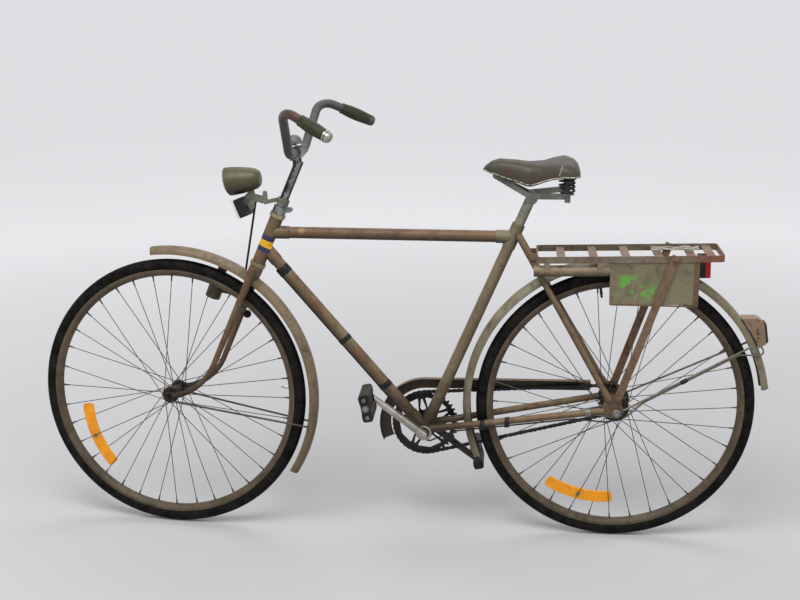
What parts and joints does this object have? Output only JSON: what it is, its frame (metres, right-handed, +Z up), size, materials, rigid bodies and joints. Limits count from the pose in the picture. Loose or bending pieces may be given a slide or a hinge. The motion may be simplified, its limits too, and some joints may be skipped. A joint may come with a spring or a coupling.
{
  "type": "bicycle",
  "caption": "Army roadster bicycle with a diamond frame, carrier with tool box, mudguards, bottle dynamo and lamps",
  "frame": {"origin": "The middle of the saddle's top, where the rider sits.", "axes": "+X is the way the bicycle rides, +Y is to the rider's left, +Z is up, with both tyres on level ground."},
  "size_m": [1.8229, 0.5125, 1.0857],
  "materials": {
    "frame_paint": "worn brown-olive paint with rust",
    "guard_paint": "worn grey-green paint",
    "rim_paint": "worn brown paint",
    "bar_steel": "dull grey plating with rust",
    "brass": "dull brassy ring",
    "black_steel": "oily near-black steel",
    "dull_chrome": "dull chrome",
    "saddle_vinyl": "dark olive-brown cover, worn at its edge",
    "grip_rubber": "dark green rubber",
    "pedal_rubber": "black rubber",
    "tyre_rubber": "dusty black rubber",
    "cable_rubber": "dusty black cable sheath",
    "lamp_glass": "clear ribbed lens",
    "front_reflector_plastic": "dark housing with a clear reflector",
    "red_reflector_plastic": "red reflector",
    "amber_reflector_plastic": "amber reflector"
  },
  "bodies": {
    "frame": {"head_tube": "frame_paint", "headset": "brass", "top_tube": "frame_paint", "down_tube": "frame_paint", "seat_tube": "frame_paint", "seat_lug": "frame_paint", "bottom_bracket": "frame_paint", "chain_stays": "frame_paint", "seat_stays": "frame_paint", "seat_post": "bar_steel", "saddle_frame": "black_steel", "saddle_springs": "black_steel", "saddle_cover": "saddle_vinyl", "rear_mudguard": "guard_paint", "rear_mudguard_stays": "guard_paint", "carrier": "frame_paint", "carrier_struts": "frame_paint", "tool_box": "frame_paint", "tool_tube": "frame_paint", "rear_reflector": "red_reflector_plastic", "rear_lamp": "frame_paint", "chain": "black_steel", "chain_guard": "black_steel", "rear_axle": "dull_chrome", "brake_arm": "black_steel", "lamp_lead": "cable_rubber"},
    "steering": {"fork": "frame_paint", "fork_blades": "frame_paint", "stem": "bar_steel", "handlebar": "bar_steel", "grips": "grip_rubber", "grip_caps": "dull_chrome", "bell": "dull_chrome", "headlamp": "guard_paint", "headlamp_lens": "lamp_glass", "front_reflector": "front_reflector_plastic", "lamp_bracket": "black_steel", "lamp_cable": "cable_rubber", "dynamo": "frame_paint", "front_mudguard": "guard_paint", "front_mudguard_stays": "guard_paint", "front_axle": "dull_chrome"},
    "front_wheel": {"front_hub": "dull_chrome", "front_spokes": "dull_chrome", "front_rim": "rim_paint", "front_tyre": "tyre_rubber", "front_spoke_reflector": "amber_reflector_plastic"},
    "rear_wheel": {"rear_hub": "dull_chrome", "rear_spokes": "dull_chrome", "rear_rim": "rim_paint", "rear_tyre": "tyre_rubber", "rear_spoke_reflector": "amber_reflector_plastic"},
    "sprocket": {"sprocket": "black_steel"},
    "crankset": {"chainwheel": "black_steel", "cranks": "dull_chrome", "crank_spindle": "dull_chrome"},
    "pedal_left": {"pedal_left": "black_steel", "pedal_left_rubbers": "pedal_rubber"},
    "pedal_right": {"pedal_right": "black_steel", "pedal_right_rubbers": "pedal_rubber"}
  },
  "joints": [
    {"name": "steering_turn", "type": "hinge", "parent": "frame", "child": "steering", "pos_m": [0.68823, 0, -0.2088], "axis": [-0.3827, 0, 0.9239], "range_deg": [-73.6, 86.4]},
    {"name": "front_wheel_spin", "type": "hinge", "parent": "steering", "child": "front_wheel", "pos_m": [0.93461, -0.00847, -0.60625], "axis": [-0.103, -0.9938, -0.0427], "continuous": true},
    {"name": "rear_wheel_spin", "type": "hinge", "parent": "frame", "child": "rear_wheel", "pos_m": [-0.17495, 0, -0.60607], "axis": [0, -1, 0], "continuous": true},
    {"name": "crank_spin", "type": "hinge", "parent": "frame", "child": "crankset", "pos_m": [0.29604, 0, -0.68207], "axis": [0, -1, 0], "continuous": true},
    {"name": "sprocket_spin", "type": "hinge", "parent": "frame", "child": "sprocket", "pos_m": [-0.17495, 0, -0.60607], "axis": [0, -1, 0], "continuous": true},
    {"name": "pedal_left_spin", "type": "hinge", "parent": "crankset", "child": "pedal_left", "pos_m": [0.42722, 0.1385, -0.57393], "axis": [0, -1, 0], "continuous": true},
    {"name": "pedal_right_spin", "type": "hinge", "parent": "crankset", "child": "pedal_right", "pos_m": [0.16487, -0.1385, -0.7902], "axis": [0, -1, 0], "continuous": true}
  ],
  "couplings": [
    {"joint": "sprocket_spin", "follows": "crank_spin", "ratio": 2.2222}
  ]
}
